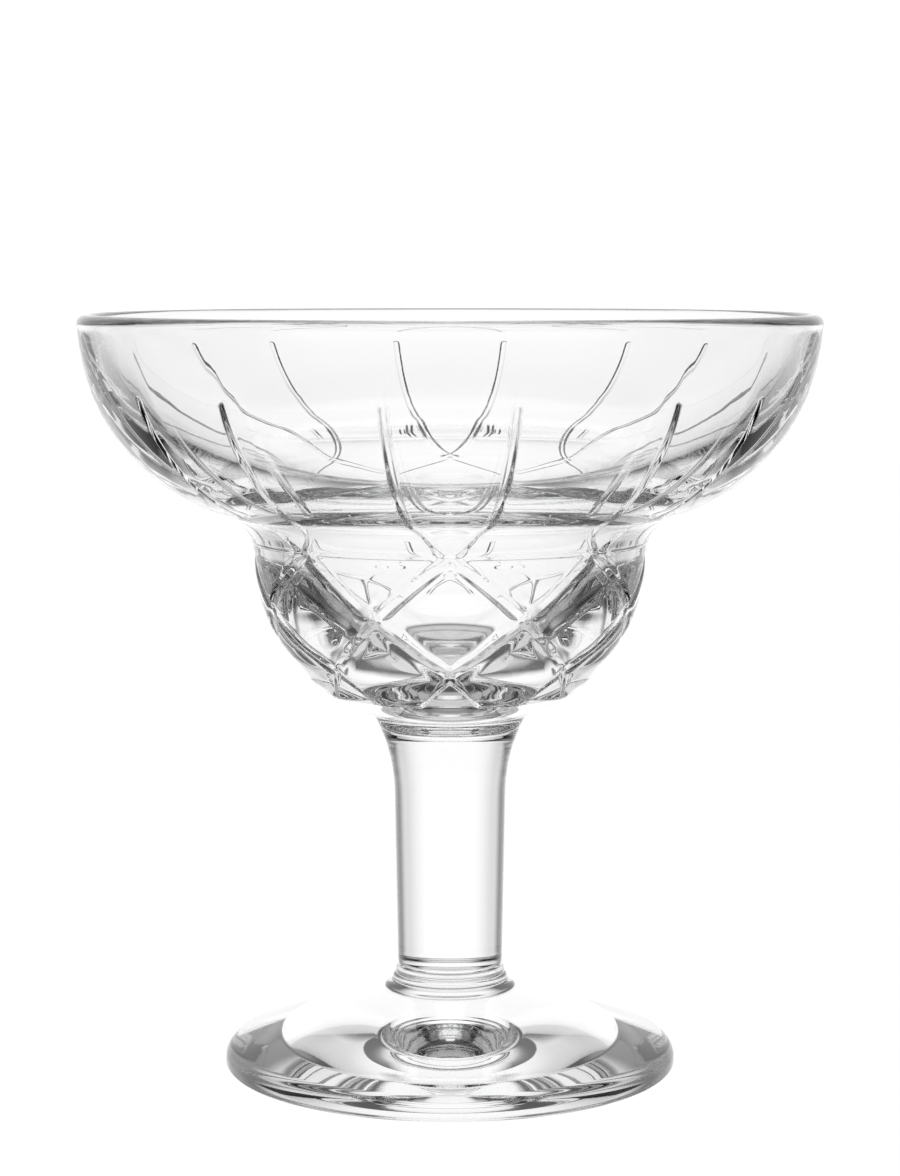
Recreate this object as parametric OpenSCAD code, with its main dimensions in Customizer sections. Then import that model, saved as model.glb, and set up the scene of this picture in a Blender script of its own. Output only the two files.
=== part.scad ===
// Stemmed margarita glass of heavy pressed glass.
// A flared bowl over a round bulb, a solid stem and a round foot, welded hot end to end.
// The glass stands on the plane z = 0 with its axis along z. The front faces -y. Lengths are millimetres.

/* [Bowl] */
// Height of the whole glass, from the table to the top of the lip
overall_h = 118.2; // [112:0.1:126]
// Outside diameter of the rim
rim_d = 115; // [108:0.5:122]
// Thickness of the round lip at the rim
lip_t = 2.9; // [2.2:0.1:3.6]
// Height by which the lip stands out of the wall, on each side
lip_proud = 0.1; // [0.06:0.01:0.2]
// Radius of the curve of the upper bowl's outside
bowl_arc_r = 32.2; // [31:0.1:33]
// Depth of that curve's centre under the top of the lip
bowl_arc_drop = 0.4; // [0.2:0.1:1]
// Radius of the curve of the upper bowl's inside
bowl_inner_arc_r = 29; // [28:0.1:29.8]
// Thickness of the glass under the floor of the upper bowl
shoulder_t = 6; // [5:0.1:6.6]
// Outside diameter of the neck between the upper bowl and the bulb
neck_d = 60.8; // [57:0.2:63]
// Thickness of the wall at the neck
neck_t = 3.7; // [3.2:0.1:4.6]
// Radius of the hollow curve outside the waist
waist_fillet_r = 7; // [6:0.1:8]
// Radius of the rounded edge inside the waist
shoulder_fillet_r = 8; // [6.5:0.1:8.5]
// Height of the straight neck, from the waist to where the bulb starts to draw in
neck_h = 0.5; // [0.3:0.1:2]
// Radius of the curve of the bulb's outside
bulb_arc_r = 23; // [21:0.1:26]
// Angle that this curve runs through before the bulb's straight lower side
bulb_arc_angle = 31; // [27:0.5:34]
// Diameter of the bulb's lower edge
bulb_edge_d = 40.4; // [38:0.2:42]
// Drop from the neck to the bulb's lower edge
bulb_edge_drop = 20.5; // [19:0.1:22]
// Drop from the bulb's lower edge to the button under it
underside_drop = 3.8; // [3:0.1:4.6]
// Amount by which the radius of the round hollow in the bulb exceeds that of the neck's inside
hollow_spread = 1.3; // [0.8:0.1:4]
// Thickness of the glass under the hollow
bulb_floor_t = 5.8; // [5:0.1:8]
// Height of the button under the bulb, which the stem is welded to
button_h = 2.2; // [1.4:0.1:3.2]

/* [Cut pattern] */
// Number of times that the pattern repeats round the glass
repeats = 8; // [6:1:10]
// Width of a groove on the upper bowl
groove_w = 1.1; // [0.8:0.05:1.4]
// Depth of a groove on the upper bowl
groove_depth = 0.4; // [0.25:0.05:0.5]
// Width of a groove in the waist
waist_groove_w = 1.3; // [0.9:0.05:1.6]
// Drop from the top of the lip to the top ends of the grooves
groove_top_drop = 11.5; // [9:0.1:15]
// Half of the angle between the two grooves of a pair, at their top ends
groove_angle = 9.9; // [8:0.1:10.5]
// Width of a bar of the lattice on the bulb
bar_w = 1.6; // [1.2:0.05:2]
// Width of a bar's thinner end under the bulb
bar_end_w = 1.3; // [1:0.05:1.7]
// Depth of a bar of the lattice on the bulb
bar_depth = 0.6; // [0.4:0.05:0.8]
// Step in depth where one cut runs into another
cut_step = 0.1; // [0.06:0.01:0.15]
// Height over the neck of the crossings where the pairs of grooves meet
cross_rise = 2.2; // [1.5:0.1:3]
// Drop from the neck to the crossings at the sides of the diamonds
side_drop = 6.5; // [5.5:0.1:7.5]
// Drop from the neck to the crossings at the lower points of the diamonds
point_drop = 16; // [15:0.1:17]
// Height over the bulb's lower edge where the bars start to run out
runout_rise = 0.4; // [0.2:0.1:1]
// Width of the fine line round the neck, over the lattice
neck_line_w = 0.7; // [0.5:0.05:0.9]
// Depth of the fine line round the neck
neck_line_depth = 0.18; // [0.1:0.01:0.25]

/* [Stem] */
// Diameter of the stem at its foot end
stem_low_d = 16.4; // [15:0.1:18]
// Diameter of the stem where it starts to flare
stem_high_d = 17.4; // [16:0.1:18.5]
// Length of the stem's flare, up to the weld
flare_h = 10.7; // [9:0.1:12]
// Radius of the curve of the flare
flare_r = 26.8; // [24:0.2:32]

/* [Foot] */
// Diameter of the foot
foot_d = 71; // [66:0.5:76]
// Height of the upright strip of the foot's edge, between its two roundings
edge_side_h = 0.4; // [0.2:0.1:1.5]
// Radius of the rounding over the foot's edge
edge_top_r = 2.6; // [2:0.1:2.9]
// Radius of the rounding under the foot's edge
edge_low_r = 0.9; // [0.5:0.1:1.3]
// Diameter of the collar where it meets the foot's sloping top
collar_d = 22.4; // [21:0.1:25]
// Height of the collar's lower end
collar_z = 12; // [11:0.1:13]
// Height of the collar, up to the weld with the stem
collar_h = 4; // [3:0.1:5.5]
// Radius of a bead round the collar
bead_r = 0.6; // [0.4:0.05:0.7]
// Height by which a bead stands out of the collar
bead_rise = 0.15; // [0.1:0.01:0.25]
// Width of the ring that the foot stands on
rest_w = 9.6; // [7:0.1:12]
// Depth of the hollow under the foot
hollow_depth = 2.7; // [1.5:0.1:3.4]

/* [Hidden] */
$fn = 96;
// Fineness of the wide, shallow curve under the foot
hollow_fn = 720;
glass_colour = [0.86, 0.91, 0.92, 0.6];
// How far a cutting shape runs past the surface that it cuts
overrun = 1;
// How far a curve runs into the one that it blends with
blend = 0.02;
// Number of beads round the collar
bead_count = 2;
// Step from bead to bead, of the collar's height
bead_pitch_share = 0.25;
// Angle of one repeat of the pattern
repeat_angle = 360 / repeats;

// Upper bowl: centres of the two curves, and of the lip
rim_r = rim_d / 2;
lip_r = lip_t / 2;
lip_z = overall_h - lip_r;
lip_cr = rim_r - lip_r;
bowl_cr = rim_r - lip_proud - bowl_arc_r;
bowl_cz = overall_h - bowl_arc_drop;
bowl_inner_cz = bowl_cz - bowl_arc_r + shoulder_t + bowl_inner_arc_r;
bowl_inner_cr = lip_cr - lip_r + lip_proud - leg(bowl_inner_arc_r, bowl_inner_cz - lip_z);
// Level inside the upper bowl's curve, up to which the section is filled before it is hollowed
bowl_fill_z = bowl_cz - bowl_arc_r / 2;

// Waist: the outer hollow and the inner rounded edge, each between the upper bowl and the neck
neck_r = neck_d / 2;
neck_inner_r = neck_r - neck_t;
waist_cr = neck_r + waist_fillet_r;
waist_cz = bowl_cz - leg(bowl_arc_r + waist_fillet_r, waist_cr - bowl_cr);
shoulder_cr = neck_inner_r + shoulder_fillet_r;
shoulder_cz = bowl_inner_cz - leg(bowl_inner_arc_r + shoulder_fillet_r, shoulder_cr - bowl_inner_cr);

// Bulb: centres of its outer curve and its hollow, the straight lower side, and the weld under it
bulb_z = waist_cz - neck_h;
bulb_cr = neck_r - bulb_arc_r;
bulb_slope_r = bulb_cr + bulb_arc_r * cos(bulb_arc_angle);
bulb_slope_z = bulb_z - bulb_arc_r * sin(bulb_arc_angle);
bulb_edge_r = bulb_edge_d / 2;
bulb_edge_z = bulb_z - bulb_edge_drop;
bulb_base_z = bulb_edge_z - underside_drop;
bulb_inner_arc_r = neck_inner_r + hollow_spread;
bulb_inner_cz = bulb_base_z + bulb_floor_t + bulb_inner_arc_r;
bowl_weld_z = bulb_base_z - button_h;

// Stem: centre of the flare's hollow curve
flare_z = bowl_weld_z - flare_h;
stem_low_r = stem_low_d / 2;
stem_high_r = stem_high_d / 2;
flare_cr = stem_high_r + flare_r;
button_r = flare_cr - leg(flare_r, bulb_base_z - flare_z);

// Foot: the round edge, and the slope from the collar that meets it without a step
foot_r = foot_d / 2;
edge_cr = foot_r - edge_top_r;
edge_cz = edge_low_r + edge_side_h;
edge_low_cr = foot_r - edge_low_r;
collar_r = collar_d / 2;
collar_to_edge = [edge_cr - collar_r, edge_cz - collar_z];
slope_angle = atan2(collar_to_edge.y, collar_to_edge.x) + asin(edge_top_r / norm(collar_to_edge));
slope_end = [edge_cr - edge_top_r * sin(slope_angle), edge_cz + edge_top_r * cos(slope_angle)];
cove_w = collar_r - stem_low_r;
cove_r = (cove_w ^ 2 + collar_h ^ 2) / (2 * cove_w);
foot_weld_z = collar_z + collar_h;
hollow_edge_r = foot_r - edge_low_r - rest_w;
hollow_r = (hollow_edge_r ^ 2 + hollow_depth ^ 2) / (2 * hollow_depth);

// Cut pattern: levels
cross_z = waist_cz + cross_rise;
side_z = bulb_z - side_drop;
point_z = bulb_z - point_drop;
runout_z = bulb_edge_z + runout_rise;
groove_top_z = overall_h - groove_top_drop;
// Cut pattern: where a groove runs on into the waist, one groove's width out from the waist's hollow curve
waist_edge_r = bowl_cr + (waist_cr - bowl_cr) * bowl_arc_r / (bowl_arc_r + waist_fillet_r);
groove_low_r = waist_edge_r + waist_groove_w;
groove_low_z = bowl_cz - leg(bowl_arc_r, groove_low_r - bowl_cr);
// Cut pattern: shares of a groove's height, of its angle at the top, and of the run under the bulb
groove_mid_z_share = 0.45;
groove_mid_angle_share = 0.97;
groove_low_angle_share = 0.73;
waist_angle_share = 0.53;
runout_mid_z_share = 0.5;
runout_mid_angle_share = 0.48;
runout_angle_share = 0.29;
groove_mid_z = groove_low_z + (groove_top_z - groove_low_z) * groove_mid_z_share;
runout_mid_z = point_z + (runout_z - point_z) * runout_mid_z_share;

// Second side of a right triangle, from its longest side and its first side
function leg(long, side) = sqrt(long ^ 2 - side ^ 2);

// Point of a section, [radius, height], turned about the axis to an angle from the front
function turned(angle, point) = [point.x * sin(angle), -point.x * cos(angle), point.y];

// Points of the bowl's section: at a height, and halfway round the grooves' run through the waist
function on_upper_bowl(z) = [bowl_cr + leg(bowl_arc_r, bowl_cz - z), z];
function on_waist(z) = [waist_cr - leg(waist_fillet_r, z - waist_cz), z];
function on_bulb(z) = [bulb_cr + leg(bulb_arc_r, bulb_z - z), z];
function on_slope(z) =
    [bulb_edge_r + (bulb_slope_r - bulb_edge_r) * (z - bulb_edge_z) / (bulb_slope_z - bulb_edge_z), z];
function in_waist() =
    let (start_angle = 180 - asin(cross_rise / waist_fillet_r))
    let (end_angle = atan2(bowl_cz - waist_cz, bowl_cr - waist_cr), middle = (start_angle + end_angle) / 2)
    [waist_cr, waist_cz] + waist_fillet_r * [cos(middle), sin(middle)];

// Centre of the circle through three points
function circle_centre(p, q, s) =
    let (u = q - p, v = s - p, w = cross(u, v))
    p + (cross(w, u) * (v * v) + cross(v, w) * (u * u)) / (2 * (w * w));

// Cutter for a channel along the arc from p through q to s, and past each end by a run.
// The channel has flat sides. Its floor lies inside the arc, or outside it where the glass is hollow.
module channel(p, q, s, w, depth, run = 0, hollow = false) {
    c = circle_centre(p, q, s);
    arc_r = norm(p - c);
    normal = cross(q - p, s - p);
    x = (p - c) / arc_r;
    z = normal / norm(normal);
    y = cross(z, x);
    turn = atan2((s - c) * y, (s - c) * x);
    run_angle = run / arc_r * 180 / PI;
    multmatrix([
        [x.x, y.x, z.x, c.x],
        [x.y, y.y, z.y, c.y],
        [x.z, y.z, z.z, c.z],
        [0, 0, 0, 1]])
        rotate([0, 0, -run_angle])
            rotate_extrude(angle = (turn < 0 ? turn + 360 : turn) + run_angle * 2)
                translate([hollow ? arc_r - overrun : arc_r - depth, -w / 2])
                    square([depth + overrun, w]);
}

// Section of the bowl, filled
module bowl_outline() {
    difference() {
        union() {
            intersection() {
                translate([bowl_cr, bowl_cz]) circle(r = bowl_arc_r);
                square([rim_r + overrun, lip_z]);
            }
            polygon([
                [0, bulb_z],
                [neck_r, bulb_z],
                [neck_r, waist_cz],
                [waist_cr, waist_cz],
                [bowl_cr, bowl_fill_z],
                [0, bowl_fill_z]]);
            intersection() {
                translate([bulb_cr, bulb_z]) circle(r = bulb_arc_r + blend);
                translate([0, bulb_slope_z]) square([rim_r, bulb_z - bulb_slope_z + overrun]);
            }
            polygon([
                [0, bulb_base_z],
                [button_r, bulb_base_z],
                [bulb_edge_r, bulb_edge_z],
                [bulb_slope_r, bulb_slope_z],
                [0, bulb_slope_z]]);
            flare_outline(bowl_weld_z, bulb_base_z);
        }
        translate([waist_cr, waist_cz]) circle(r = waist_fillet_r + blend);
    }
}

// Section of the inside of the bowl
module bowl_hollow() {
    difference() {
        union() {
            translate([bowl_inner_cr, bowl_inner_cz]) circle(r = bowl_inner_arc_r);
            polygon([
                [0, shoulder_cz],
                [shoulder_cr, shoulder_cz],
                [bowl_inner_cr, bowl_inner_cz],
                [0, bowl_inner_cz]]);
            intersection() {
                translate([0, bulb_inner_cz]) circle(r = bulb_inner_arc_r);
                square([neck_inner_r, shoulder_cz]);
            }
        }
        translate([shoulder_cr, shoulder_cz]) circle(r = shoulder_fillet_r + blend);
    }
}

// Section of the stem's flare between two heights, which the stem and the bowl's button share
module flare_outline(low_z, high_z) {
    difference() {
        translate([0, low_z]) square([flare_cr, high_z - low_z]);
        translate([flare_cr, flare_z]) circle(r = flare_r);
    }
}

// One groove on the upper bowl. side is 1 for the right groove of a pair and -1 for the left one.
module groove(side) {
    channel(
        turned(side * groove_angle, on_upper_bowl(groove_top_z)),
        turned(side * groove_angle * groove_mid_angle_share, on_upper_bowl(groove_mid_z)),
        turned(side * groove_angle * groove_low_angle_share, on_upper_bowl(groove_low_z)),
        groove_w,
        groove_depth);
}

// Run of a groove through the waist, down to the crossing with the other groove of its pair
module waist_groove(side) {
    channel(
        turned(side * groove_angle * groove_low_angle_share, on_upper_bowl(groove_low_z)),
        turned(side * groove_angle * waist_angle_share, in_waist()),
        turned(0, on_waist(cross_z)),
        waist_groove_w,
        groove_depth + cut_step,
        hollow = true);
}

// One bar of the lattice, from a crossing in the waist down round the bulb
module bar(side, depth) {
    channel(
        turned(0, on_waist(cross_z)),
        turned(side * repeat_angle / 2, on_bulb(side_z)),
        turned(side * repeat_angle, on_slope(point_z)),
        bar_w,
        depth,
        run = bar_w / 2);
}

// Thinner end of a bar, under the bulb
module bar_end(side) {
    end_turn = side * repeat_angle * runout_angle_share;
    channel(
        turned(0, on_slope(point_z)),
        turned(end_turn * runout_mid_angle_share, on_slope(runout_mid_z)),
        turned(end_turn, on_slope(runout_z)),
        bar_end_w,
        bar_depth - cut_step,
        run = bar_end_w);
}

// Fine line round the neck, over the lattice
module neck_line() {
    rotate_extrude()
        translate([on_waist(cross_z).x - neck_line_depth, cross_z - neck_line_w / 2])
            square([neck_line_depth + overrun, neck_line_w]);
}

// Repeats a shape round the glass
module all_round() {
    for (i = [0 : repeats - 1])
        rotate([0, 0, i * repeat_angle])
            children();
}

// Bowl before its pattern is cut
module plain_bowl() {
    rotate_extrude() {
        difference() {
            bowl_outline();
            bowl_hollow();
        }
        translate([lip_cr, lip_z]) circle(r = lip_r);
    }
}

// Bowl with the two crossing sets of bars
module latticed_bowl() {
    difference() {
        difference() {
            plain_bowl();
            all_round() bar(1, bar_depth);
        }
        all_round() bar(-1, bar_depth + cut_step);
    }
}

// Bowl with the bars and their thinner ends
module ended_bowl() {
    difference() {
        difference() {
            latticed_bowl();
            all_round() bar_end(1);
        }
        all_round() bar_end(-1);
    }
}

// Bowl with its whole pattern. Cuts that run into each other are made one after the other.
module bowl() {
    color(glass_colour)
        difference() {
            difference() {
                difference() {
                    ended_bowl();
                    all_round() waist_groove(1);
                }
                all_round() waist_groove(-1);
            }
            all_round() groove(1);
            all_round() groove(-1);
            neck_line();
        }
}

// Solid stem, which narrows a little towards the foot
module stem() {
    color(glass_colour)
        rotate_extrude() {
            polygon([
                [0, foot_weld_z],
                [stem_low_r, foot_weld_z],
                [stem_high_r, flare_z],
                [0, flare_z]]);
            flare_outline(flare_z, bowl_weld_z);
        }
}

// Section of the foot's collar: a hollow curve with beads
module collar_outline() {
    difference() {
        translate([0, collar_z]) square([collar_r, collar_h]);
        translate([stem_low_r + cove_r, foot_weld_z]) circle(r = cove_r);
    }
    for (i = [1 : bead_count])
        let (drop = i * collar_h * bead_pitch_share)
        translate([stem_low_r + cove_r - leg(cove_r, drop) + bead_rise - bead_r, foot_weld_z - drop])
            circle(r = bead_r);
}

// Foot with its round edge, sloping top, collar and hollowed underside
module foot() {
    color(glass_colour)
        rotate_extrude() {
            difference() {
                union() {
                    intersection() {
                        translate([edge_cr, edge_cz]) circle(r = edge_top_r);
                        translate([0, edge_cz]) square([foot_r + overrun, edge_top_r + overrun]);
                    }
                    translate([edge_low_cr, edge_low_r]) circle(r = edge_low_r);
                    square([edge_low_cr, edge_low_r]);
                    translate([0, edge_low_r]) square([foot_r, edge_side_h]);
                    polygon([
                        [0, edge_low_r],
                        [edge_cr, edge_cz],
                        slope_end,
                        [collar_r, collar_z],
                        [0, collar_z]]);
                }
                translate([0, hollow_depth - hollow_r]) circle(r = hollow_r, $fn = hollow_fn);
            }
            collar_outline();
        }
}

bowl();
stem();
foot();
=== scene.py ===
"""Margarita glass of heavy pressed glass: its bowl, stem and foot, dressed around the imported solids."""
import logging
import math
from dataclasses import dataclass
from enum import Enum

import bmesh
import bpy
import numpy as np
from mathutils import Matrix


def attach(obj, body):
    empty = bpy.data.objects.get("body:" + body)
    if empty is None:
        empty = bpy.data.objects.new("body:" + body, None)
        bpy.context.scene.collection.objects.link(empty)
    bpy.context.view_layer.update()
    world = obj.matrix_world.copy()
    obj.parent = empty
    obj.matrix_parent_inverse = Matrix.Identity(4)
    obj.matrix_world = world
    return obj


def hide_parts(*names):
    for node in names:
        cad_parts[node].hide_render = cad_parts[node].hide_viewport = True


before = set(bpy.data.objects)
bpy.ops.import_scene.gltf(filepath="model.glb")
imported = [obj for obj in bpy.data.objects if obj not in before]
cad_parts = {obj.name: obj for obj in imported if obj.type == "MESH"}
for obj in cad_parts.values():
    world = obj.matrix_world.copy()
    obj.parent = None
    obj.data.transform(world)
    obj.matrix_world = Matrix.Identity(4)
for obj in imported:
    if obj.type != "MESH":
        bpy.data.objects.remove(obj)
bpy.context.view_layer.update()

LOG = logging.getLogger("margarita_glass")
MM = 0.001
TURN = 360.0
FINE = 0.02
ROW_SAMPLES = 4000
COLUMN_SAMPLES = 3001
TURN_SAMPLES = 6000


class Slot(Enum):
    """Material slots of the record, one for each piece; the pieces' finishes are made in this script."""

    BOWL = "bowl_glass"
    STEM = "stem_glass"
    FOOT = "foot_glass"


class Part(Enum):
    """Faces of a piece: its outer skin, or the flat face that is fused to the next piece."""

    SKIN = 0
    WELD = 1


def smooth_step(x: np.ndarray) -> np.ndarray:
    """Eases from 0 to 1 as x goes from 0 to 1.

    Args:
        x: Values, which may lie outside the range from 0 to 1.

    Returns:
        Eased values between 0 and 1.
    """
    t = np.clip(x, 0.0, 1.0)
    return t * t * (3.0 - 2.0 * t)


def wrapped(angle: np.ndarray, period: float) -> np.ndarray:
    """Brings angles to the range of one period around zero.

    Args:
        angle: Angles in degrees.
        period: Length of the period in degrees.

    Returns:
        Angles from minus half a period to plus half a period.
    """
    return (angle + period / 2) % period - period / 2


def arc(centre: tuple[float, float], radius: float, start: float, end: float) -> np.ndarray:
    """Lays points along an arc of a section.

    Args:
        centre: Radius and height of the arc's centre.
        radius: Radius of the arc.
        start: First angle in degrees, from the outward direction towards up.
        end: Last angle in degrees.

    Returns:
        Points of the arc, one row of radius and height each.
    """
    count = max(8, int(abs(math.radians(end - start)) * radius / FINE))
    angle = np.radians(np.linspace(start, end, count))
    return np.column_stack([centre[0] + radius * np.cos(angle), centre[1] + radius * np.sin(angle)])


def meeting(a: tuple[float, float], ra: float, b: tuple[float, float], rb: float,
            side: int) -> tuple[float, float]:
    """Finds a point where two circles of a section meet.

    Args:
        a: Centre of the first circle.
        ra: Radius of the first circle.
        b: Centre of the second circle.
        rb: Radius of the second circle.
        side: 1 for the point on the left of the way from a to b, -1 for the one on the right.

    Returns:
        Radius and height of the point.
    """
    dx, dz = b[0] - a[0], b[1] - a[1]
    gap = math.hypot(dx, dz)
    along = (gap * gap + ra * ra - rb * rb) / (2 * gap)
    across = side * math.sqrt(max(0.0, ra * ra - along * along))
    return a[0] + (along * dx - across * dz) / gap, a[1] + (along * dz + across * dx) / gap


def angle_to(centre: tuple[float, float], point: tuple[float, float]) -> float:
    """Gives the angle in degrees from a centre to a point of a section."""
    return math.degrees(math.atan2(point[1] - centre[1], point[0] - centre[0]))


def leg(longest: float, other: float) -> float:
    """Gives the third side of a right triangle from its longest side and one other."""
    return math.sqrt(longest ** 2 - other ** 2)


class Section:
    """Curve of a turned surface, measured by the length along it."""

    def __init__(self, pieces: list[np.ndarray], softness: float) -> None:
        """Joins pieces of a curve and eases the creases between them.

        Args:
            pieces: Runs of points, each of radius and height in millimetres, in order.
            softness: Length over which a crease is eased.
        """
        points = np.vstack(pieces)
        length = self._lengths(points)
        keep = np.concatenate([[True], np.diff(length) > FINE / 20])
        even = np.arange(0.0, length[-1], FINE)
        curve = np.column_stack([np.interp(even, length[keep], points[keep, k]) for k in (0, 1)])
        window = max(1, int(softness / FINE))
        ease = np.hanning(window + 2)[1:-1]
        ease /= ease.sum()
        padded = np.pad(curve, ((window, window), (0, 0)), mode="reflect", reflect_type="odd")
        eased = np.column_stack([np.convolve(padded[:, k], ease, "same") for k in (0, 1)])
        self.points = eased[window:-window]
        self.length = self._lengths(self.points)
        along = np.gradient(self.points, axis=0)
        along /= np.linalg.norm(along, axis=1)[:, None]
        self.normals = np.column_stack([along[:, 1], -along[:, 0]])

    @staticmethod
    def _lengths(points: np.ndarray) -> np.ndarray:
        """Gives the length along a run of points up to each of them."""
        return np.concatenate([[0.0], np.cumsum(np.linalg.norm(np.diff(points, axis=0), axis=1))])

    def at(self, s: np.ndarray) -> tuple[np.ndarray, np.ndarray]:
        """Gives points and outward directions at lengths along the curve.

        Args:
            s: Lengths from the start of the curve.

        Returns:
            Points and unit normals, with radius and height in the last axis.
        """
        point = np.stack([np.interp(s, self.length, self.points[:, k]) for k in (0, 1)], axis=-1)
        normal = np.stack([np.interp(s, self.length, self.normals[:, k]) for k in (0, 1)], axis=-1)
        return point, normal

    def nearest(self, radius: float, height: float) -> float:
        """Gives the length along the curve at the point nearest to a radius and height."""
        return float(self.length[np.argmin(np.hypot(self.points[:, 0] - radius, self.points[:, 1] - height))])


def spaced(start: float, end: float, step: float, close: list[tuple[float, float, float]]) -> np.ndarray:
    """Spreads rows along a curve, with closer rows where the shape is fine.

    Args:
        start: First length along the curve.
        end: Last length along the curve.
        step: Usual distance of the rows.
        close: Places with closer rows, each as its length along the curve, its reach and its step.

    Returns:
        Lengths of the rows.
    """
    s = np.linspace(start, end, ROW_SAMPLES)
    density = np.full_like(s, 1.0 / step)
    for centre, reach, fine in close:
        density += (1.0 / fine - 1.0 / step) * smooth_step(1.5 - np.abs(s - centre) / reach)
    total = np.concatenate([[0.0], np.cumsum((density[1:] + density[:-1]) / 2 * np.abs(np.diff(s)))])
    rows = np.linspace(0.0, total[-1], int(math.ceil(total[-1])) + 1)
    return np.interp(rows, total, s)


def placed(radius: np.ndarray, height: np.ndarray, angle: np.ndarray) -> np.ndarray:
    """Turns points of a section about the axis.

    Args:
        radius: Radii in millimetres.
        height: Heights in millimetres.
        angle: Angles in degrees from the front, to the right.

    Returns:
        Points in metres, with x, y and z in the last axis.
    """
    turn = np.radians(angle)
    return np.stack([radius * np.sin(turn), -radius * np.cos(turn), height + 0 * turn], axis=-1) * MM


def lifted(point: np.ndarray, normal: np.ndarray, relief: np.ndarray, angle: np.ndarray) -> np.ndarray:
    """Moves points of a section along their normals and turns them about the axis.

    Args:
        point: Points, with radius and height in the last axis.
        normal: Unit normals of the points.
        relief: Offsets along the normals in millimetres.
        angle: Angles in degrees from the front, to the right.

    Returns:
        Points in metres, with x, y and z in the last axis.
    """
    return placed(point[..., 0] + relief * normal[..., 0], point[..., 1] + relief * normal[..., 1], angle)


class Skin:
    """Mesh in the making: rings of points round the axis and the faces between them."""

    def __init__(self) -> None:
        """Starts with no points and no faces."""
        self.points: list[np.ndarray] = []
        self.count = 0
        self.faces: list[tuple[int, ...]] = []
        self.welds: set[int] = set()

    def add(self, points: np.ndarray) -> np.ndarray:
        """Adds points.

        Args:
            points: Points in metres, with x, y and z in the last axis.

        Returns:
            Their numbers, in the shape of the points.
        """
        flat = points.reshape(-1, 3)
        number = np.arange(self.count, self.count + len(flat)).reshape(points.shape[:-1])
        self.points.append(flat)
        self.count += len(flat)
        return number

    def join(self, *corners: np.ndarray) -> None:
        """Adds faces.

        Args:
            corners: Numbers of the faces' first corners, of their second corners, and so on.
        """
        faces = np.stack(corners, axis=-1).reshape(-1, len(corners))
        self.faces += [tuple(face) for face in faces.tolist()]

    def rings(self, rows: np.ndarray) -> None:
        """Joins rings of equally many points by four-sided faces.

        Args:
            rows: Numbers of the points, one row for each ring.
        """
        low, high = rows[:-1], rows[1:]
        self.join(low, np.roll(low, -1, 1), np.roll(high, -1, 1), high)

    def halve(self, ring: np.ndarray, half: np.ndarray) -> None:
        """Joins a ring to one that has half as many points.

        Args:
            ring: Numbers of the points of the finer ring.
            half: Numbers of the points of the coarser ring.
        """
        count = len(half)
        for i in range(count):
            a, b, c = ring[2 * i], ring[2 * i + 1], ring[(2 * i + 2) % len(ring)]
            d, e = half[i], half[(i + 1) % count]
            self.faces += [(int(a), int(b), int(d)), (int(b), int(e), int(d)), (int(b), int(c), int(e))]

    def close(self, ring: np.ndarray, height: float, part: Part) -> None:
        """Closes a ring by a fan of faces to a point on the axis.

        Args:
            ring: Numbers of the ring's points.
            height: Height of the point on the axis in millimetres.
            part: Whether the fan is skin or a fused face.
        """
        hub = int(self.add(np.array([[0.0, 0.0, height * MM]]))[0])
        for a, b in zip(ring.tolist(), np.roll(ring, -1).tolist()):
            if part is Part.WELD:
                self.welds.add(len(self.faces))
            self.faces.append((a, b, hub))

    def piece(self, name: str, materials: list[bpy.types.Material]) -> bpy.types.Object:
        """Makes the mesh into an object with smooth shading.

        Args:
            name: Name of the object.
            materials: Finish of the skin, and of the fused faces where there are any.

        Returns:
            The new object.
        """
        mesh = bpy.data.meshes.new(name)
        mesh.from_pydata(np.vstack(self.points).tolist(), [], self.faces)
        for material in materials:
            mesh.materials.append(material)
        slots = np.zeros(len(mesh.polygons), dtype=np.int32)
        slots[sorted(self.welds)] = Part.WELD.value
        mesh.polygons.foreach_set("material_index", slots)
        edit = bmesh.new()
        edit.from_mesh(mesh)
        bmesh.ops.recalc_face_normals(edit, faces=edit.faces)
        for face in edit.faces:
            face.smooth = face.material_index == Part.SKIN.value
        for edge in edit.edges:
            kinds = {face.material_index for face in edge.link_faces}
            edge.smooth = len(kinds) == 1
        edit.to_mesh(mesh)
        edit.free()
        obj = bpy.data.objects.new(name, mesh)
        bpy.context.collection.objects.link(obj)
        return obj


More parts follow.
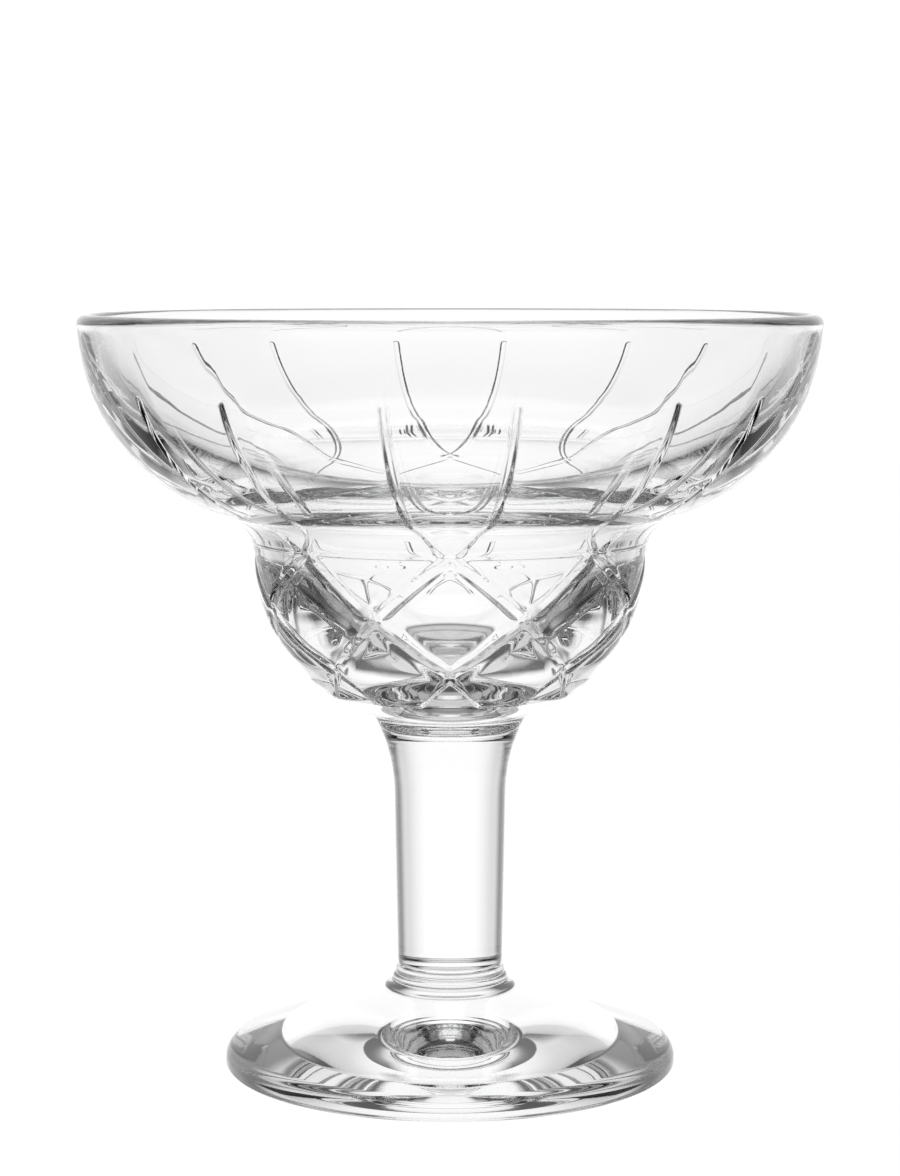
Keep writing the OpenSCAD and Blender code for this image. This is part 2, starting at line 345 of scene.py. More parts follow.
@dataclass(frozen=True)
class GlassFinish:
    """Clear fire-polished soda glass, with the faint waves that pressing leaves in its skin."""

    name: str
    tint: tuple[float, float, float, float] = (1.0, 1.0, 1.0, 1.0)
    ior: float = 1.52
    wave_size: float = 70.0
    wave_detail: float = 1.0
    wave_height: float = 0.02
    grain_size: float = 900.0
    grain_detail: float = 2.0
    grain_height: float = 0.0004
    haze_waves: tuple[float, float] = (0.45, 0.75)
    haze: tuple[float, float] = (0.0, 0.012)
    body: tuple[float, float, float, float] = (0.65, 0.66, 0.66, 1.0)
    body_density: float = 4.0

    def material(self) -> bpy.types.Material:
        """Makes the node material of the glass.

        Returns:
            The material.
        """
        material = bpy.data.materials.new(self.name)
        material.use_nodes = True
        nodes, links = material.node_tree.nodes, material.node_tree.links
        shader = nodes["Principled BSDF"]
        shader.inputs["Base Color"].default_value = self.tint
        shader.inputs["Transmission Weight"].default_value = 1.0
        shader.inputs["IOR"].default_value = self.ior
        place = nodes.new("ShaderNodeTexCoord")
        wave = nodes.new("ShaderNodeTexNoise")
        wave.inputs["Scale"].default_value = self.wave_size
        wave.inputs["Detail"].default_value = self.wave_detail
        grain = nodes.new("ShaderNodeTexNoise")
        grain.inputs["Scale"].default_value = self.grain_size
        grain.inputs["Detail"].default_value = self.grain_detail
        haze = nodes.new("ShaderNodeMapRange")
        haze.inputs["From Min"].default_value, haze.inputs["From Max"].default_value = self.haze_waves
        haze.inputs["To Min"].default_value, haze.inputs["To Max"].default_value = self.haze
        soft = nodes.new("ShaderNodeBump")
        soft.inputs["Strength"].default_value = 1.0
        soft.inputs["Distance"].default_value = self.wave_height * MM
        fine = nodes.new("ShaderNodeBump")
        fine.inputs["Strength"].default_value = 1.0
        fine.inputs["Distance"].default_value = self.grain_height * MM
        for texture in (wave, grain):
            links.new(place.outputs["Object"], texture.inputs["Vector"])
        links.new(wave.outputs["Fac"], soft.inputs["Height"])
        links.new(grain.outputs["Fac"], fine.inputs["Height"])
        links.new(soft.outputs["Normal"], fine.inputs["Normal"])
        links.new(fine.outputs["Normal"], shader.inputs["Normal"])
        links.new(wave.outputs["Fac"], haze.inputs["Value"])
        links.new(haze.outputs["Result"], shader.inputs["Roughness"])
        body = nodes.new("ShaderNodeVolumeAbsorption")
        body.inputs["Color"].default_value = self.body
        body.inputs["Density"].default_value = self.body_density
        links.new(body.outputs["Volume"], nodes["Material Output"].inputs["Volume"])
        return material


@dataclass(frozen=True)
class FusedFace:
    """Face inside a hot weld, where the glass of two pieces has run together and nothing shows."""

    name: str = "fused_weld"

    def material(self) -> bpy.types.Material:
        """Makes a material that light goes straight through.

        Returns:
            The material.
        """
        material = bpy.data.materials.new(self.name)
        material.use_nodes = True
        nodes, links = material.node_tree.nodes, material.node_tree.links
        nodes.remove(nodes["Principled BSDF"])
        clear = nodes.new("ShaderNodeBsdfTransparent")
        links.new(clear.outputs["BSDF"], nodes["Material Output"].inputs["Surface"])
        return material


def settle(piece: bpy.types.Object, node: str) -> None:
    """Ties a piece to the frame in place of its solid.

    Args:
        piece: The dressed piece.
        node: Solid that it stands for.
    """
    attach(piece, "root")
    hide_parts(node)


@dataclass
class Bowl:
    """Pressed bowl: the flared upper bowl, the waist, the bulb with its lattice and the button under it."""

    overall_h: float = 118.2
    rim_r: float = 57.5
    lip_t: float = 2.9
    arc_r: float = 32.2
    arc_z: float = 117.8
    arc_off: float = 25.2
    inner_arc_r: float = 29.0
    inner_arc_z: float = 120.6
    inner_arc_off: float = 25.96
    neck_r: float = 30.4
    neck_inner_r: float = 26.7
    waist_r: float = 7.0
    shoulder_r: float = 8.0
    bulb_z: float = 80.05
    bulb_r: float = 23.0
    bulb_arc_angle: float = 31.0
    edge_r: float = 20.2
    edge_z: float = 59.55
    base_z: float = 55.75
    bulb_inner_r: float = 10.5
    floor_arc_r: float = 28.0
    floor_z: float = 61.55
    flare_off: float = 35.5
    flare_z: float = 42.85
    flare_r: float = 26.8
    weld_z: float = 53.55
    weld_notch: float = 0.12
    weld_notch_h: float = 0.3
    softness: float = 0.5
    edge_softness: float = 1.8
    repeats: int = 8
    columns: int = 40
    groove_top_z: float = 106.7
    cross_z: float = 82.9
    groove_turns: tuple[tuple[float, float], ...] = ((7.6, 3.5), (2.3, 14.0))
    groove_half_w: float = 0.6
    groove_flat: float = 0.45
    groove_depth: float = 0.45
    groove_fade: float = 1.5
    bar_turn: float = 2.06
    bar_start_turn: float = 3.0
    bar_bend: float = 4.0
    bar_half_w: float = 0.6
    bar_end_share: float = 0.3
    bar_taper_start: float = 0.9
    bar_taper_rate: float = 4.0
    bar_depth: float = 0.4
    bar_fade: float = 4.0
    lattice_turn: float = 1.5
    node_depth: float = 0.2
    upper_bevels: tuple[float, float, float, float] = (0.5, 0.5, 1.2, 0.4)
    lower_bevels: tuple[float, float, float, float] = (0.5, 1.5, 0.9, 0.4)
    panel_bulges: tuple[float, float, float, float] = (0.05, -0.05, 0.4, 0.05)
    panel_fade: float = 6.0
    neck_line_half_w: float = 0.4
    neck_line_depth: float = 0.22
    neck_line_drop: float = 0.1
    neck_line_edge: float = 1.2
    neck_line_gap: float = 1.6
    neck_line_fade: float = 2.0
    column_focus: tuple[float, float] = (3.0, 9.0)
    column_reach: tuple[float, float] = (2.2, 1.2)
    column_run: float = 14.0
    outer_step: float = 0.85
    inner_step: float = 1.0
    button_step: float = 0.45
    crossing_rows: tuple[float, float, float] = (2.5, 4.0, 0.32)
    groove_end_drop: float = 0.4
    groove_end_rows: tuple[float, float] = (0.9, 0.18)
    lip_rows: tuple[float, float] = (3.0, 0.4)
    shoulder_drop: float = 42.0
    shoulder_rows: tuple[float, float] = (6.0, 0.6)

    @property
    def period(self) -> float:
        """Angle of one repeat of the pattern in degrees."""
        return TURN / self.repeats

    def section(self) -> Section:
        """Draws the bowl's section, from the weld up the outside, over the lip and down the inside.

        Returns:
            The section.
        """
        lip_r = self.lip_t / 2
        lip = (self.rim_r - lip_r, self.overall_h - lip_r)
        upper = (self.arc_off, self.arc_z)
        inner = (self.inner_arc_off, self.inner_arc_z)
        flare = (self.flare_off, self.flare_z)
        bulb = (self.neck_r - self.bulb_r, self.bulb_z)
        floor = (0.0, self.floor_z + self.floor_arc_r)
        bulb_in_off = self.neck_inner_r - self.bulb_inner_r
        bulb_in = (bulb_in_off, floor[1] - leg(self.floor_arc_r - self.bulb_inner_r, bulb_in_off))
        waist_off = self.neck_r + self.waist_r
        waist = (waist_off, upper[1] - leg(self.arc_r + self.waist_r, waist_off - upper[0]))
        edge_off = self.neck_inner_r + self.shoulder_r
        edge = (edge_off, inner[1] - leg(self.inner_arc_r + self.shoulder_r, edge_off - inner[0]))
        lip_out = meeting(upper, self.arc_r, lip, lip_r, -1)
        lip_in = meeting(inner, self.inner_arc_r, lip, lip_r, 1)
        weld_r, base_r = self.on_flare(self.weld_z), self.on_flare(self.base_z)
        weld_angle = angle_to(flare, (weld_r, self.weld_z)) % TURN
        lower = Section([
            arc(flare, self.flare_r, weld_angle, angle_to(flare, (base_r, self.base_z)) % TURN),
            np.array([[base_r, self.base_z], [self.edge_r, self.edge_z]]),
            arc(bulb, self.bulb_r, -self.bulb_arc_angle, 0.0),
        ], self.edge_softness)
        turn_out = angle_to(upper, waist)
        turn_in = angle_to(inner, edge)
        return Section([
            lower.points,
            np.array([[self.neck_r, self.bulb_z], [self.neck_r, waist[1]]]),
            arc(waist, self.waist_r, 180.0, angle_to(waist, upper) % TURN),
            arc(upper, self.arc_r, turn_out, angle_to(upper, lip_out)),
            arc(lip, lip_r, angle_to(lip, lip_out), angle_to(lip, lip_in) % TURN),
            arc(inner, self.inner_arc_r, angle_to(inner, lip_in), turn_in),
            arc(edge, self.shoulder_r, angle_to(edge, inner) % TURN, 180.0),
            np.array([[self.neck_inner_r, edge[1]], [self.neck_inner_r, bulb_in[1]]]),
            arc(bulb_in, self.bulb_inner_r, 0.0, angle_to(floor, bulb_in)),
            arc(floor, self.floor_arc_r, angle_to(floor, bulb_in), -90.0),
        ], self.softness)

    def drift(self, s: np.ndarray) -> np.ndarray:
        """Gives how far a line of the pattern has turned from its crossing in the waist.

        Args:
            s: Lengths along the section from the crossing, positive upwards.

        Returns:
            Angles in degrees, positive on the grooves above and negative on the bars below.
        """
        up = sum(turn * (1.0 - np.exp(-np.maximum(s, 0.0) / bend)) for turn, bend in self.groove_turns)
        down = np.maximum(-s, 0.0)
        return up - self.bar_turn * down - self.bar_start_turn * (1.0 - np.exp(-down / self.bar_bend))

    def drift_rate(self, s: np.ndarray) -> np.ndarray:
        """Gives the change of the drift with the length along the section, in degrees per millimetre."""
        step = 0.05
        return (self.drift(s + step) - self.drift(s - step)) / (2 * step)

    def column_angles(self, s: float) -> np.ndarray:
        """Spreads the columns of one repeat so that they crowd at the two lines of the pattern.

        Args:
            s: Length from the crossing, positive upwards.

        Returns:
            Angles of the columns from the middle of the repeat, in degrees.
        """
        offset = float(self.drift(np.array([s]))[0])
        focus, reach = (np.interp(s, [0.0, self.column_run], ends)
                        for ends in (self.column_focus, self.column_reach))
        angle = np.linspace(-self.period / 2, self.period / 2, COLUMN_SAMPLES)
        density = np.ones_like(angle)
        for side in (-1, 1):
            density += focus * np.exp(-((angle - side * offset) / reach) ** 2)
        total = np.concatenate([[0.0], np.cumsum((density[1:] + density[:-1]) / 2)])
        return np.interp(np.arange(self.columns) / self.columns * total[-1], total, angle)

    def around(self, one: np.ndarray) -> np.ndarray:
        """Repeats the angles of one repeat all round the glass."""
        return (one[None, :] + self.period * np.arange(self.repeats)[:, None]).ravel()

    def groove_relief(self, angle: np.ndarray, s: np.ndarray, radius: np.ndarray, top: float) -> np.ndarray:
        """Gives the depth of the grooves on the upper bowl.

        Args:
            angle: Angles in degrees.
            s: Lengths from the crossing, positive upwards.
            radius: Radii of the plain surface.
            top: Length from the crossing to the grooves' top ends.

        Returns:
            Offsets along the surface's normal, negative into the glass.
        """
        end = top - self.groove_half_w
        offset, rate = self.drift(s), self.drift_rate(s)
        past = np.maximum(s - end, 0.0)
        cut = np.zeros_like(angle)
        for side in (-1, 1):
            arm = np.radians(wrapped(angle - side * offset, self.period)) * radius
            across = arm / np.sqrt(1.0 + (np.radians(rate) * radius) ** 2)
            away = np.hypot(across, past) / self.groove_half_w
            cut = np.maximum(cut, smooth_step((1.0 - away) / (1.0 - self.groove_flat)))
        return -self.groove_depth * cut

    def lattice_relief(self, angle: np.ndarray, s: np.ndarray, radius: np.ndarray, last: float) -> np.ndarray:
        """Gives the relief of the bars, diamonds and panels on the bulb.

        Args:
            angle: Angles in degrees.
            s: Lengths from the crossing, negative downwards.
            radius: Radii of the plain surface.
            last: Turn of the bars at the bulb's lower edge, where they run out.

        Returns:
            Offsets along the surface's normal.
        """
        turn = -self.drift(s)
        slope = np.sqrt(1.0 / radius ** 2 + np.radians(self.drift_rate(s)) ** 2)
        lanes = np.floor((angle + turn) / self.period) - np.floor((angle - turn) / self.period)
        kind = np.clip(lanes, 0, len(self.panel_bulges) - 1).astype(int)
        upper, lower = (np.array(bevels)[kind] for bevels in (self.upper_bevels, self.lower_bevels))
        taper = smooth_step((turn / self.period - self.bar_taper_start) * self.bar_taper_rate)
        share = 1.0 - (1.0 - self.bar_end_share) * taper
        raised, bulge, node = (np.ones_like(angle) for _ in range(3))
        for side in (-1, 1):
            lane = angle + side * turn
            away = np.radians(np.abs(wrapped(lane, self.period))) / slope
            bevel = np.where(side * wrapped(lane, self.period) > 0, upper, lower)
            raised *= smooth_step((away / share - self.bar_half_w) / bevel)
            node *= smooth_step(1.0 - away / (2 * self.bar_half_w))
            bulge *= 1.0 - (wrapped(lane + self.period / 2, self.period) / (self.period / 2)) ** 2
        ends = smooth_step(turn / self.panel_fade) * smooth_step((last - turn) / self.panel_fade)
        cut = self.bar_depth * (1.0 - raised) + self.node_depth * node
        cut *= smooth_step((last - turn) / self.bar_fade + 0.5)
        return np.array(self.panel_bulges)[kind] * bulge * ends - cut

    def neck_line_relief(self, angle: np.ndarray, s: np.ndarray, radius: np.ndarray) -> np.ndarray:
        """Gives the depth of the fine line round the neck, which stops short of the crossings.

        Args:
            angle: Angles in degrees.
            s: Lengths from the crossing.
            radius: Radii of the plain surface.

        Returns:
            Offsets along the surface's normal, negative into the glass.
        """
        near = np.radians(np.abs(wrapped(angle, self.period))) * radius
        line = smooth_step(self.neck_line_edge - np.abs(s + self.neck_line_drop) / self.neck_line_half_w)
        return -self.neck_line_depth * line * smooth_step((near - self.neck_line_gap) / self.neck_line_fade)

    def build(self, skin_finish: bpy.types.Material, weld_finish: bpy.types.Material) -> bpy.types.Object:
        """Builds the bowl's closed mesh.

        Args:
            skin_finish: Finish of the glass.
            weld_finish: Finish of the face that is fused to the stem.

        Returns:
            The bowl.
        """
        section = self.section()
        crossing = section.nearest(self.neck_r, self.cross_z)
        lower_edge = float(-self.drift(np.array([section.nearest(self.edge_r, self.edge_z) - crossing]))[0])
        top = section.nearest(*self.on_upper(self.groove_top_z)) - crossing
        lip = section.nearest(self.rim_r - self.lip_t / 2, self.overall_h) - crossing
        end = section.length[-1] - crossing
        skin = Skin()
        n, count = self.columns, self.columns * self.repeats
        at_crossing = self.around(self.column_angles(0.0))

        last = self.lattice_turn * self.period
        down = np.linspace(-crossing, 0.0, TURN_SAMPLES)
        lanes = np.arange(int(2 * self.lattice_turn * n) + 1)
        start = np.arange(count)[:, None]
        low = at_crossing[start % count] + TURN * (start // count)
        wide = start + lanes[None, :]
        high = at_crossing[wide % count] + TURN * (wide // count)
        angle, turn = (low + high) / 2, (high - low) / 2
        s = np.interp(turn, -self.drift(down)[::-1], down[::-1])
        point, normal = section.at(s + crossing)
        relief = self.lattice_relief(angle, s, point[..., 0], lower_edge)
        relief += self.neck_line_relief(angle, s, point[..., 0])
        relief += self.groove_blend(angle, s, point[..., 0], top)
        lattice = skin.add(lifted(point, normal, relief, angle))
        nxt = np.roll(lattice, -1, 0)
        skin.join(lattice[:, 1:-1], lattice[:, 2:], nxt[:, 1:-1], nxt[:, :-2])
        skin.join(lattice[:, 0], lattice[:, 1], nxt[:, 0])
        skin.join(lattice[:, -1], nxt[:, -1], nxt[:, -2])

        groove_end = (top - self.groove_end_drop, *self.groove_end_rows)
        close = [self.crossing_rows, groove_end, (lip, *self.lip_rows)]
        rows = spaced(0.0, lip, self.outer_step, close)[1:]
        rings = [lattice[:, 0]]
        for row in rows:
            angle = self.around(self.column_angles(float(row)))
            s = np.full_like(angle, row)
            point, normal = section.at(s + crossing)
            relief = self.groove_relief(angle, s, point[:, 0], top)
            relief += self.neck_line_relief(angle, s, point[:, 0])
            rings.append(skin.add(lifted(point, normal, relief, angle)))
        skin.rings(np.array(rings))

        close = [(lip, *self.lip_rows), (lip + self.shoulder_drop, *self.shoulder_rows)]
        inside = spaced(lip, end, self.inner_step, close)[1:-1]
        even = angle[::2]
        rings_in = []
        for row in inside:
            point, _ = section.at(np.full_like(even, row + crossing))
            rings_in.append(skin.add(placed(point[:, 0], point[:, 1], even)))
        skin.halve(rings[-1], rings_in[0])
        skin.rings(np.array(rings_in))
        skin.close(rings_in[-1], self.floor_z, Part.SKIN)

        lowest = np.interp(last, -self.drift(down)[::-1], down[::-1])
        angle = at_crossing + last
        rings_low = [lattice[:, -1]]
        for row in spaced(lowest, -crossing, self.button_step, [])[1:]:
            point, _ = section.at(np.full_like(angle, row + crossing))
            notch = self.weld_notch * smooth_step(1.0 - (row + crossing) / self.weld_notch_h)
            rings_low.append(skin.add(placed(point[:, 0] - notch, point[:, 1], angle)))
        skin.rings(np.array(rings_low))
        skin.close(rings_low[-1], self.weld_z, Part.WELD)
        return skin.piece("bowl_pressed_glass", [skin_finish, weld_finish])

    def groove_blend(self, angle: np.ndarray, s: np.ndarray, radius: np.ndarray, top: float) -> np.ndarray:
        """Gives the run of the grooves into the lattice, so that no step shows at the crossings."""
        fade = smooth_step(1.0 + s / self.groove_fade)
        return self.groove_relief(angle, s, radius, top) * fade

    def on_flare(self, height: float) -> float:
        """Radius at a height of the hollow curve that the button shares with the stem."""
        return self.flare_off - leg(self.flare_r, height - self.flare_z)

    def on_upper(self, height: float) -> tuple[float, float]:
        """Radius and height of a point on the outside of the upper bowl."""
        return self.arc_off + leg(self.arc_r, self.arc_z - height), height


def turned_rings(skin: Skin, section: Section, rows: np.ndarray, columns: int) -> np.ndarray:
    """Adds plain rings of a turned surface and the faces between them.

    Args:
        skin: Mesh in the making.
        section: Curve of the surface.
        rows: Lengths along the curve.
        columns: Number of points in a ring.

    Returns:
        Numbers of the points, one row for each ring.
    """
    angle = np.arange(columns) * TURN / columns
    point, _ = section.at(rows[:, None] + 0 * angle[None, :])
    rings = skin.add(placed(point[..., 0], point[..., 1], angle[None, :] + 0 * point[..., 0]))
    skin.rings(rings)
    return rings


@dataclass
class Stem:
    """Solid stem, which flares to the bowl and is fused to the foot's collar."""

    low_z: float = 16.0
    low_r: float = 8.2
    flare_z: float = 42.85
    flare_r: float = 26.8
    high_r: float = 8.7
    weld_z: float = 53.55
    weld_notch: float = 0.12
    weld_notch_h: float = 0.3
    softness: float = 0.3
    columns: int = 192
    step: float = 0.5
    weld_rows: tuple[float, float] = (0.6, 0.1)

    def build(self, skin_finish: bpy.types.Material, weld_finish: bpy.types.Material) -> bpy.types.Object:
        """Builds the stem's closed mesh.

        Args:
            skin_finish: Finish of the glass.
            weld_finish: Finish of the two fused faces.

        Returns:
            The stem.
        """
        flare = (self.high_r + self.flare_r, self.flare_z)
        weld_r = flare[0] - leg(self.flare_r, self.weld_z - self.flare_z)
        notch_z = self.low_z + self.weld_notch_h
        notch_points = round(self.weld_notch_h / FINE)
        section = Section([
            np.array([[self.low_r - self.weld_notch, self.low_z], [self.low_r, notch_z]]),
            np.array([[self.low_r, notch_z], [self.high_r, self.flare_z]]),
            arc(flare, self.flare_r, 180.0, angle_to(flare, (weld_r, self.weld_z)) % TURN)[:-notch_points],
            np.array([[weld_r - self.weld_notch, self.weld_z]]),
        ], self.softness)
        end = float(section.length[-1])
        rows = spaced(0.0, end, self.step, [(0.0, *self.weld_rows), (end, *self.weld_rows)])
        skin = Skin()
        rings = turned_rings(skin, section, rows, self.columns)
        skin.close(rings[0], self.low_z, Part.WELD)
        skin.close(rings[-1], self.weld_z, Part.WELD)
        return skin.piece("stem_solid_glass", [skin_finish, weld_finish])


@dataclass
class Foot:
    """Pressed foot: a ringed collar, a sloping top, a round edge and a hollowed underside."""

    weld_z: float = 16.0
    weld_r: float = 8.2
    weld_notch: float = 0.12
    weld_notch_h: float = 0.3
    collar_r: float = 11.2
    collar_z: float = 12.0
    ring_count: int = 3
    ring_rise: float = 0.24
    ring_band: tuple[float, float] = (0.1, 0.8)
    edge_r: float = 35.5
    edge_round: float = 2.6
    edge_mid_z: float = 1.3
    edge_low_round: float = 0.9
    rest_in_r: float = 25.0
    hollow_depth: float = 2.7
    softness: float = 0.25
    columns: int = 256
    hub_r: float = 0.6
    step: float = 0.6
    edge_rows: tuple[float, float] = (4.0, 0.2)
    rest_rows: tuple[float, float] = (1.5, 0.25)
    collar_drop: float = 2.5
    collar_rows: tuple[float, float] = (3.0, 0.12)

    def section(self) -> Section:
        """Draws the foot's section, from the middle of the underside out and up to the weld.

        Returns:
            The section.
        """
        hollow_r = (self.rest_in_r ** 2 + self.hollow_depth ** 2) / (2 * self.hollow_depth)
        hollow = (0.0, self.hollow_depth - hollow_r)
        low = (self.edge_r - self.edge_low_round, self.edge_low_round)
        edge = (self.edge_r - self.edge_round, self.edge_mid_z)
        dx, dz = edge[0] - self.collar_r, edge[1] - self.collar_z
        slope = math.degrees(math.atan2(dz, dx) + math.asin(self.edge_round / math.hypot(dx, dz)))
        wide = self.collar_r - self.weld_r
        tall = self.weld_z - self.collar_z
        cove_r = (wide ** 2 + tall ** 2) / (2 * wide)
        cove = (self.weld_r + cove_r, self.weld_z)
        cove_arc = arc(cove, cove_r, angle_to(cove, (self.collar_r, self.collar_z)) % TURN, 180.0)
        level = (cove_arc[:, 1] - self.collar_z) / tall
        start, height = self.ring_band
        wave = np.abs(np.sin(np.clip((level - start) / height, 0.0, 1.0) * self.ring_count * math.pi))
        rings = cove_arc + np.column_stack([self.ring_rise * wave, 0 * wave])
        return Section([
            arc(hollow, hollow_r, 90.0, angle_to(hollow, (self.rest_in_r, 0.0))),
            np.array([[self.rest_in_r, 0.0], [low[0], 0.0]]),
            arc(low, self.edge_low_round, -90.0, 0.0),
            arc(edge, self.edge_round, 0.0, 90.0 + slope),
            rings[:-round(self.weld_notch_h / FINE)],
            np.array([[self.weld_r - self.weld_notch, self.weld_z]]),
        ], self.softness)

    def build(self, skin_finish: bpy.types.Material, weld_finish: bpy.types.Material) -> bpy.types.Object:
        """Builds the foot's closed mesh.

        Args:
            skin_finish: Finish of the glass.
            weld_finish: Finish of the face that is fused to the stem.

        Returns:
            The foot.
        """
        section = self.section()
        end = float(section.length[-1])
        edge = section.nearest(self.edge_r, self.edge_mid_z)
        rest = section.nearest(self.rest_in_r, 0.0)
        rows = spaced(self.hub_r, end, self.step, [
            (edge, *self.edge_rows), (rest, *self.rest_rows), (end - self.collar_drop, *self.collar_rows)])
        skin = Skin()
        rings = turned_rings(skin, section, rows, self.columns)
        skin.close(rings[0], self.hollow_depth, Part.SKIN)
        skin.close(rings[-1], self.weld_z, Part.WELD)
        return skin.piece("foot_pressed_glass", [skin_finish, weld_finish])


class LightTree:
    """Nodes that work out how bright the light from a direction is."""

    def __init__(self, tree: bpy.types.NodeTree) -> None:
        """Takes the tree that the nodes go into.

        Args:
            tree: Node tree of the surroundings.
        """
        self.nodes, self.links = tree.nodes, tree.links

    def turn(self, place: bpy.types.NodeSocket) -> bpy.types.NodeSocket:
        """Adds the turn of a direction about the axis, as the cosine of its angle from the back.

        Args:
            place: The direction.

        Returns:
            The cosine.
        """
        level = self.nodes.new("ShaderNodeVectorMath")
        level.operation = "MULTIPLY"
        level.inputs[1].default_value = (1.0, 1.0, 0.0)
        flat = self.nodes.new("ShaderNodeVectorMath")
        flat.operation = "NORMALIZE"
        split = self.nodes.new("ShaderNodeSeparateXYZ")
        self.links.new(place, level.inputs[0])
        self.links.new(level.outputs["Vector"], flat.inputs[0])
        self.links.new(flat.outputs["Vector"], split.inputs["Vector"])
        return split.outputs["Y"]

    def mix(self, operation: str, a: bpy.types.NodeSocket, b: bpy.types.NodeSocket) -> bpy.types.NodeSocket:
        """Adds a sum, product or other operation on two values.

        Args:
            operation: Name of the operation.
            a: First value.
            b: Second value.

        Returns:
            The result.
        """
        node = self.nodes.new("ShaderNodeMath")
        node.operation = operation
        self.links.new(a, node.inputs[0])
        self.links.new(b, node.inputs[1])
        return node.outputs["Value"]

    def ease(self, value: bpy.types.NodeSocket, bounds: list[float], low: float,
             high: float) -> bpy.types.NodeSocket:
        """Adds a smooth change from one brightness to another.

        Args:
            value: Value that the change follows.
            bounds: Values where the change starts and where it ends.
            low: Brightness at the start.
            high: Brightness at the end.

        Returns:
            The brightness.
        """
        node = self.nodes.new("ShaderNodeMapRange")
        node.interpolation_type = "SMOOTHSTEP"
        for name, number in zip(("From Min", "From Max", "To Min", "To Max"), (*bounds, low, high)):
            node.inputs[name].default_value = number
        self.links.new(value, node.inputs["Value"])
        return node.outputs["Result"]

    def turned(self, turn: bpy.types.NodeSocket, angles: tuple[float, float], low: float,
               high: float) -> bpy.types.NodeSocket:
        """Adds a smooth change of brightness between two angles round the glass, from the back."""
        return self.ease(turn, [math.cos(math.radians(angle)) for angle in angles], low, high)

    def risen(self, rise: bpy.types.NodeSocket, angles: tuple[float, float], low: float,
              high: float) -> bpy.types.NodeSocket:
        """Adds a smooth change of brightness between two angles of rise, from the level."""
        return self.ease(rise, [math.sin(math.radians(angle)) for angle in angles], low, high)


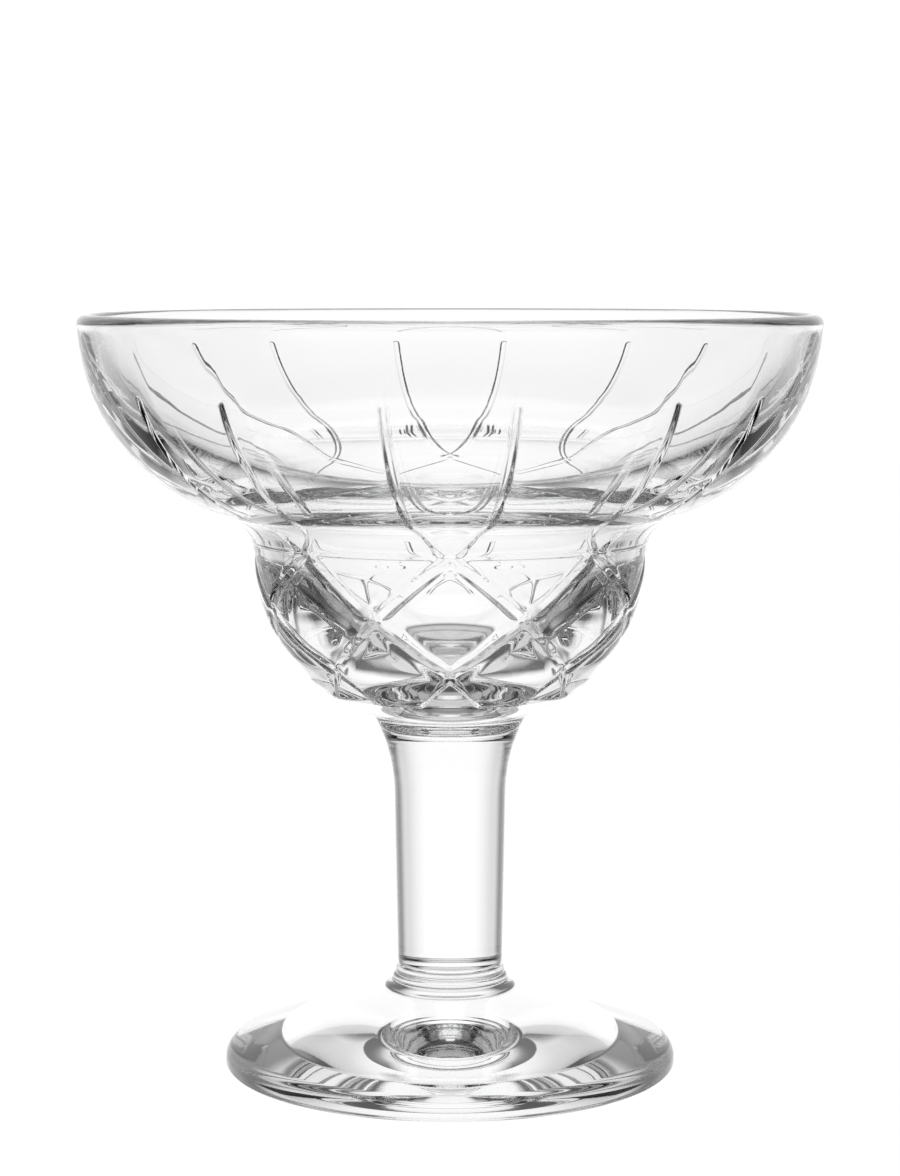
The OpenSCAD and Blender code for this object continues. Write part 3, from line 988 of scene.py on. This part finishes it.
@dataclass
class Studio:
    """Plain pale floor, soft white surroundings and the camera."""

    camera_place: tuple[float, float, float] = (0.0, -0.466, 0.12645)
    camera_dip: float = 0.109
    lens: float = 91.82
    sensor: float = 36.0
    clip_start: float = 0.01
    floor_r: float = 1.5
    floor_sides: int = 96
    floor_drop: float = 0.05
    floor_tone: tuple[float, float, float, float] = (0.05, 0.05, 0.05, 1.0)
    floor_glow: tuple[float, float, float, float] = (1.0, 1.0, 1.0, 1.0)
    layers: int = 32
    mirrorings: int = 16
    centre_turn: tuple[float, float] = (40.0, 14.0)
    centre_light: float = 0.3
    back_light: float = 0.8
    side_turn: tuple[float, float] = (60.0, 44.0)
    side_light: float = 0.25
    flank_turn: tuple[float, float] = (102.0, 88.0)
    flank_light: float = 0.06
    front_turn: tuple[float, float] = (112.0, 132.0)
    front_light: float = 0.45
    top_rise: tuple[float, float] = (58.0, 34.0)
    top_light: float = 0.08
    low_rise: tuple[float, float] = (-34.0, -14.0)
    low_light: float = 0.12
    strip_turn: tuple[float, float] = (32.0, 14.0)
    strip_rise: tuple[float, float] = (88.0, 62.0)
    sweep_turn: tuple[float, float] = (26.0, 12.0)
    sweep_rise: tuple[float, float] = (-58.0, -34.0)
    ground_rise: tuple[float, float] = (-46.0, -64.0)
    ground_light: float = 0.75

    def floor(self) -> bpy.types.Object:
        """Lays the floor.

        Returns:
            The floor.
        """
        mesh = bpy.data.meshes.new("studio_floor")
        edit = bmesh.new()
        bmesh.ops.create_circle(edit, cap_ends=True, segments=self.floor_sides, radius=self.floor_r)
        edit.to_mesh(mesh)
        edit.free()
        floor = bpy.data.objects.new("studio_floor", mesh)
        floor.location.z = -self.floor_drop * MM
        bpy.context.collection.objects.link(floor)
        material = bpy.data.materials.new("pale_floor")
        material.use_nodes = True
        shader = material.node_tree.nodes["Principled BSDF"]
        shader.inputs["Base Color"].default_value = self.floor_tone
        shader.inputs["Roughness"].default_value = 1.0
        shader.inputs["Specular IOR Level"].default_value = 0.0
        shader.inputs["Emission Color"].default_value = self.floor_glow
        shader.inputs["Emission Strength"].default_value = 1.0
        mesh.materials.append(material)
        for rays in ("diffuse", "glossy", "transmission", "shadow"):
            setattr(floor, f"visible_{rays}", False)
        return floor

    def surroundings(self) -> None:
        """Sets the light that comes from all round, as the glass sees it. The camera sees plain white."""
        world = bpy.data.worlds.new("studio_light")
        world.use_nodes = True
        bpy.context.scene.world = world
        tree = LightTree(world.node_tree)
        place = tree.nodes.new("ShaderNodeTexCoord").outputs["Generated"]
        split = tree.nodes.new("ShaderNodeSeparateXYZ")
        tree.links.new(place, split.inputs["Vector"])
        turn, rise = tree.turn(place), split.outputs["Z"]
        glow = self.light_round(tree, turn)
        for edge, light, strip_turn, strip_rise in (
                (self.top_rise, self.top_light, self.strip_turn, self.strip_rise),
                (self.low_rise, self.low_light, self.sweep_turn, self.sweep_rise)):
            wide = tree.risen(rise, edge, light, 1.0)
            high = tree.risen(rise, strip_rise, 0.0, 1.0)
            strip = tree.mix("MULTIPLY", tree.turned(turn, strip_turn, 0.0, 1.0), high)
            glow = tree.mix("MULTIPLY", glow, tree.mix("MAXIMUM", wide, strip))
        glow = tree.mix("MAXIMUM", glow, tree.risen(rise, self.ground_rise, 0.0, self.ground_light))
        seen = tree.nodes.new("ShaderNodeLightPath").outputs["Is Camera Ray"]
        tree.links.new(tree.mix("MAXIMUM", glow, seen), tree.nodes["Background"].inputs["Color"])

    def light_round(self, tree: LightTree, turn: bpy.types.NodeSocket) -> bpy.types.NodeSocket:
        """Adds the light's change round the glass: bright at the back, dark at the sides, softer in front.

        Args:
            tree: Nodes of the surroundings.
            turn: Turn about the axis, as the cosine of its angle from the back.

        Returns:
            The brightness.
        """
        glow = tree.turned(turn, self.centre_turn, self.back_light, self.back_light + self.centre_light)
        for angles, light in ((self.side_turn, self.side_light), (self.flank_turn, self.flank_light)):
            glow = tree.mix("MULTIPLY", glow, tree.turned(turn, angles, light, 1.0))
        return tree.mix("ADD", glow, tree.turned(turn, self.front_turn, 0.0, self.front_light))

    def camera(self) -> bpy.types.Object:
        """Places the camera at the photograph's viewing angle.

        Returns:
            The camera.
        """
        data = bpy.data.cameras.new("camera")
        data.lens = self.lens
        data.sensor_width = self.sensor
        data.clip_start = self.clip_start
        camera = bpy.data.objects.new("camera", data)
        camera.location = self.camera_place
        camera.rotation_euler = (math.pi / 2 - self.camera_dip, 0.0, 0.0)
        bpy.context.collection.objects.link(camera)
        bpy.context.scene.camera = camera
        return camera

    def settings(self) -> None:
        """Sets how the scene's light is shown, and lets light pass through many layers of glass."""
        scene = bpy.context.scene
        scene.view_settings.view_transform = "Standard"
        scene.cycles.max_bounces = self.layers
        scene.cycles.transmission_bounces = self.layers
        scene.cycles.transparent_max_bounces = self.layers
        scene.cycles.glossy_bounces = self.mirrorings


def main() -> None:
    """Builds the studio and the three pieces of the glass, and logs how many points and faces each piece has.
    """
    logging.basicConfig(level=logging.INFO, format="%(name)s: %(message)s")
    studio = Studio()
    studio.settings()
    studio.camera()
    studio.surroundings()
    studio.floor()
    weld = FusedFace().material()
    for part, node, slot, finish in (
        (Bowl(), "bowl", Slot.BOWL, GlassFinish("bowl_clear_glass")),
        (Stem(), "stem", Slot.STEM, GlassFinish("stem_clear_glass")),
        (Foot(), "foot", Slot.FOOT, GlassFinish("foot_clear_glass")),
    ):
        piece = part.build(finish.material(), weld)
        settle(piece, node)
        LOG.info("%s: %d points, %d faces", piece.name, len(piece.data.vertices), len(piece.data.polygons))


if __name__ == "__main__":
    main()
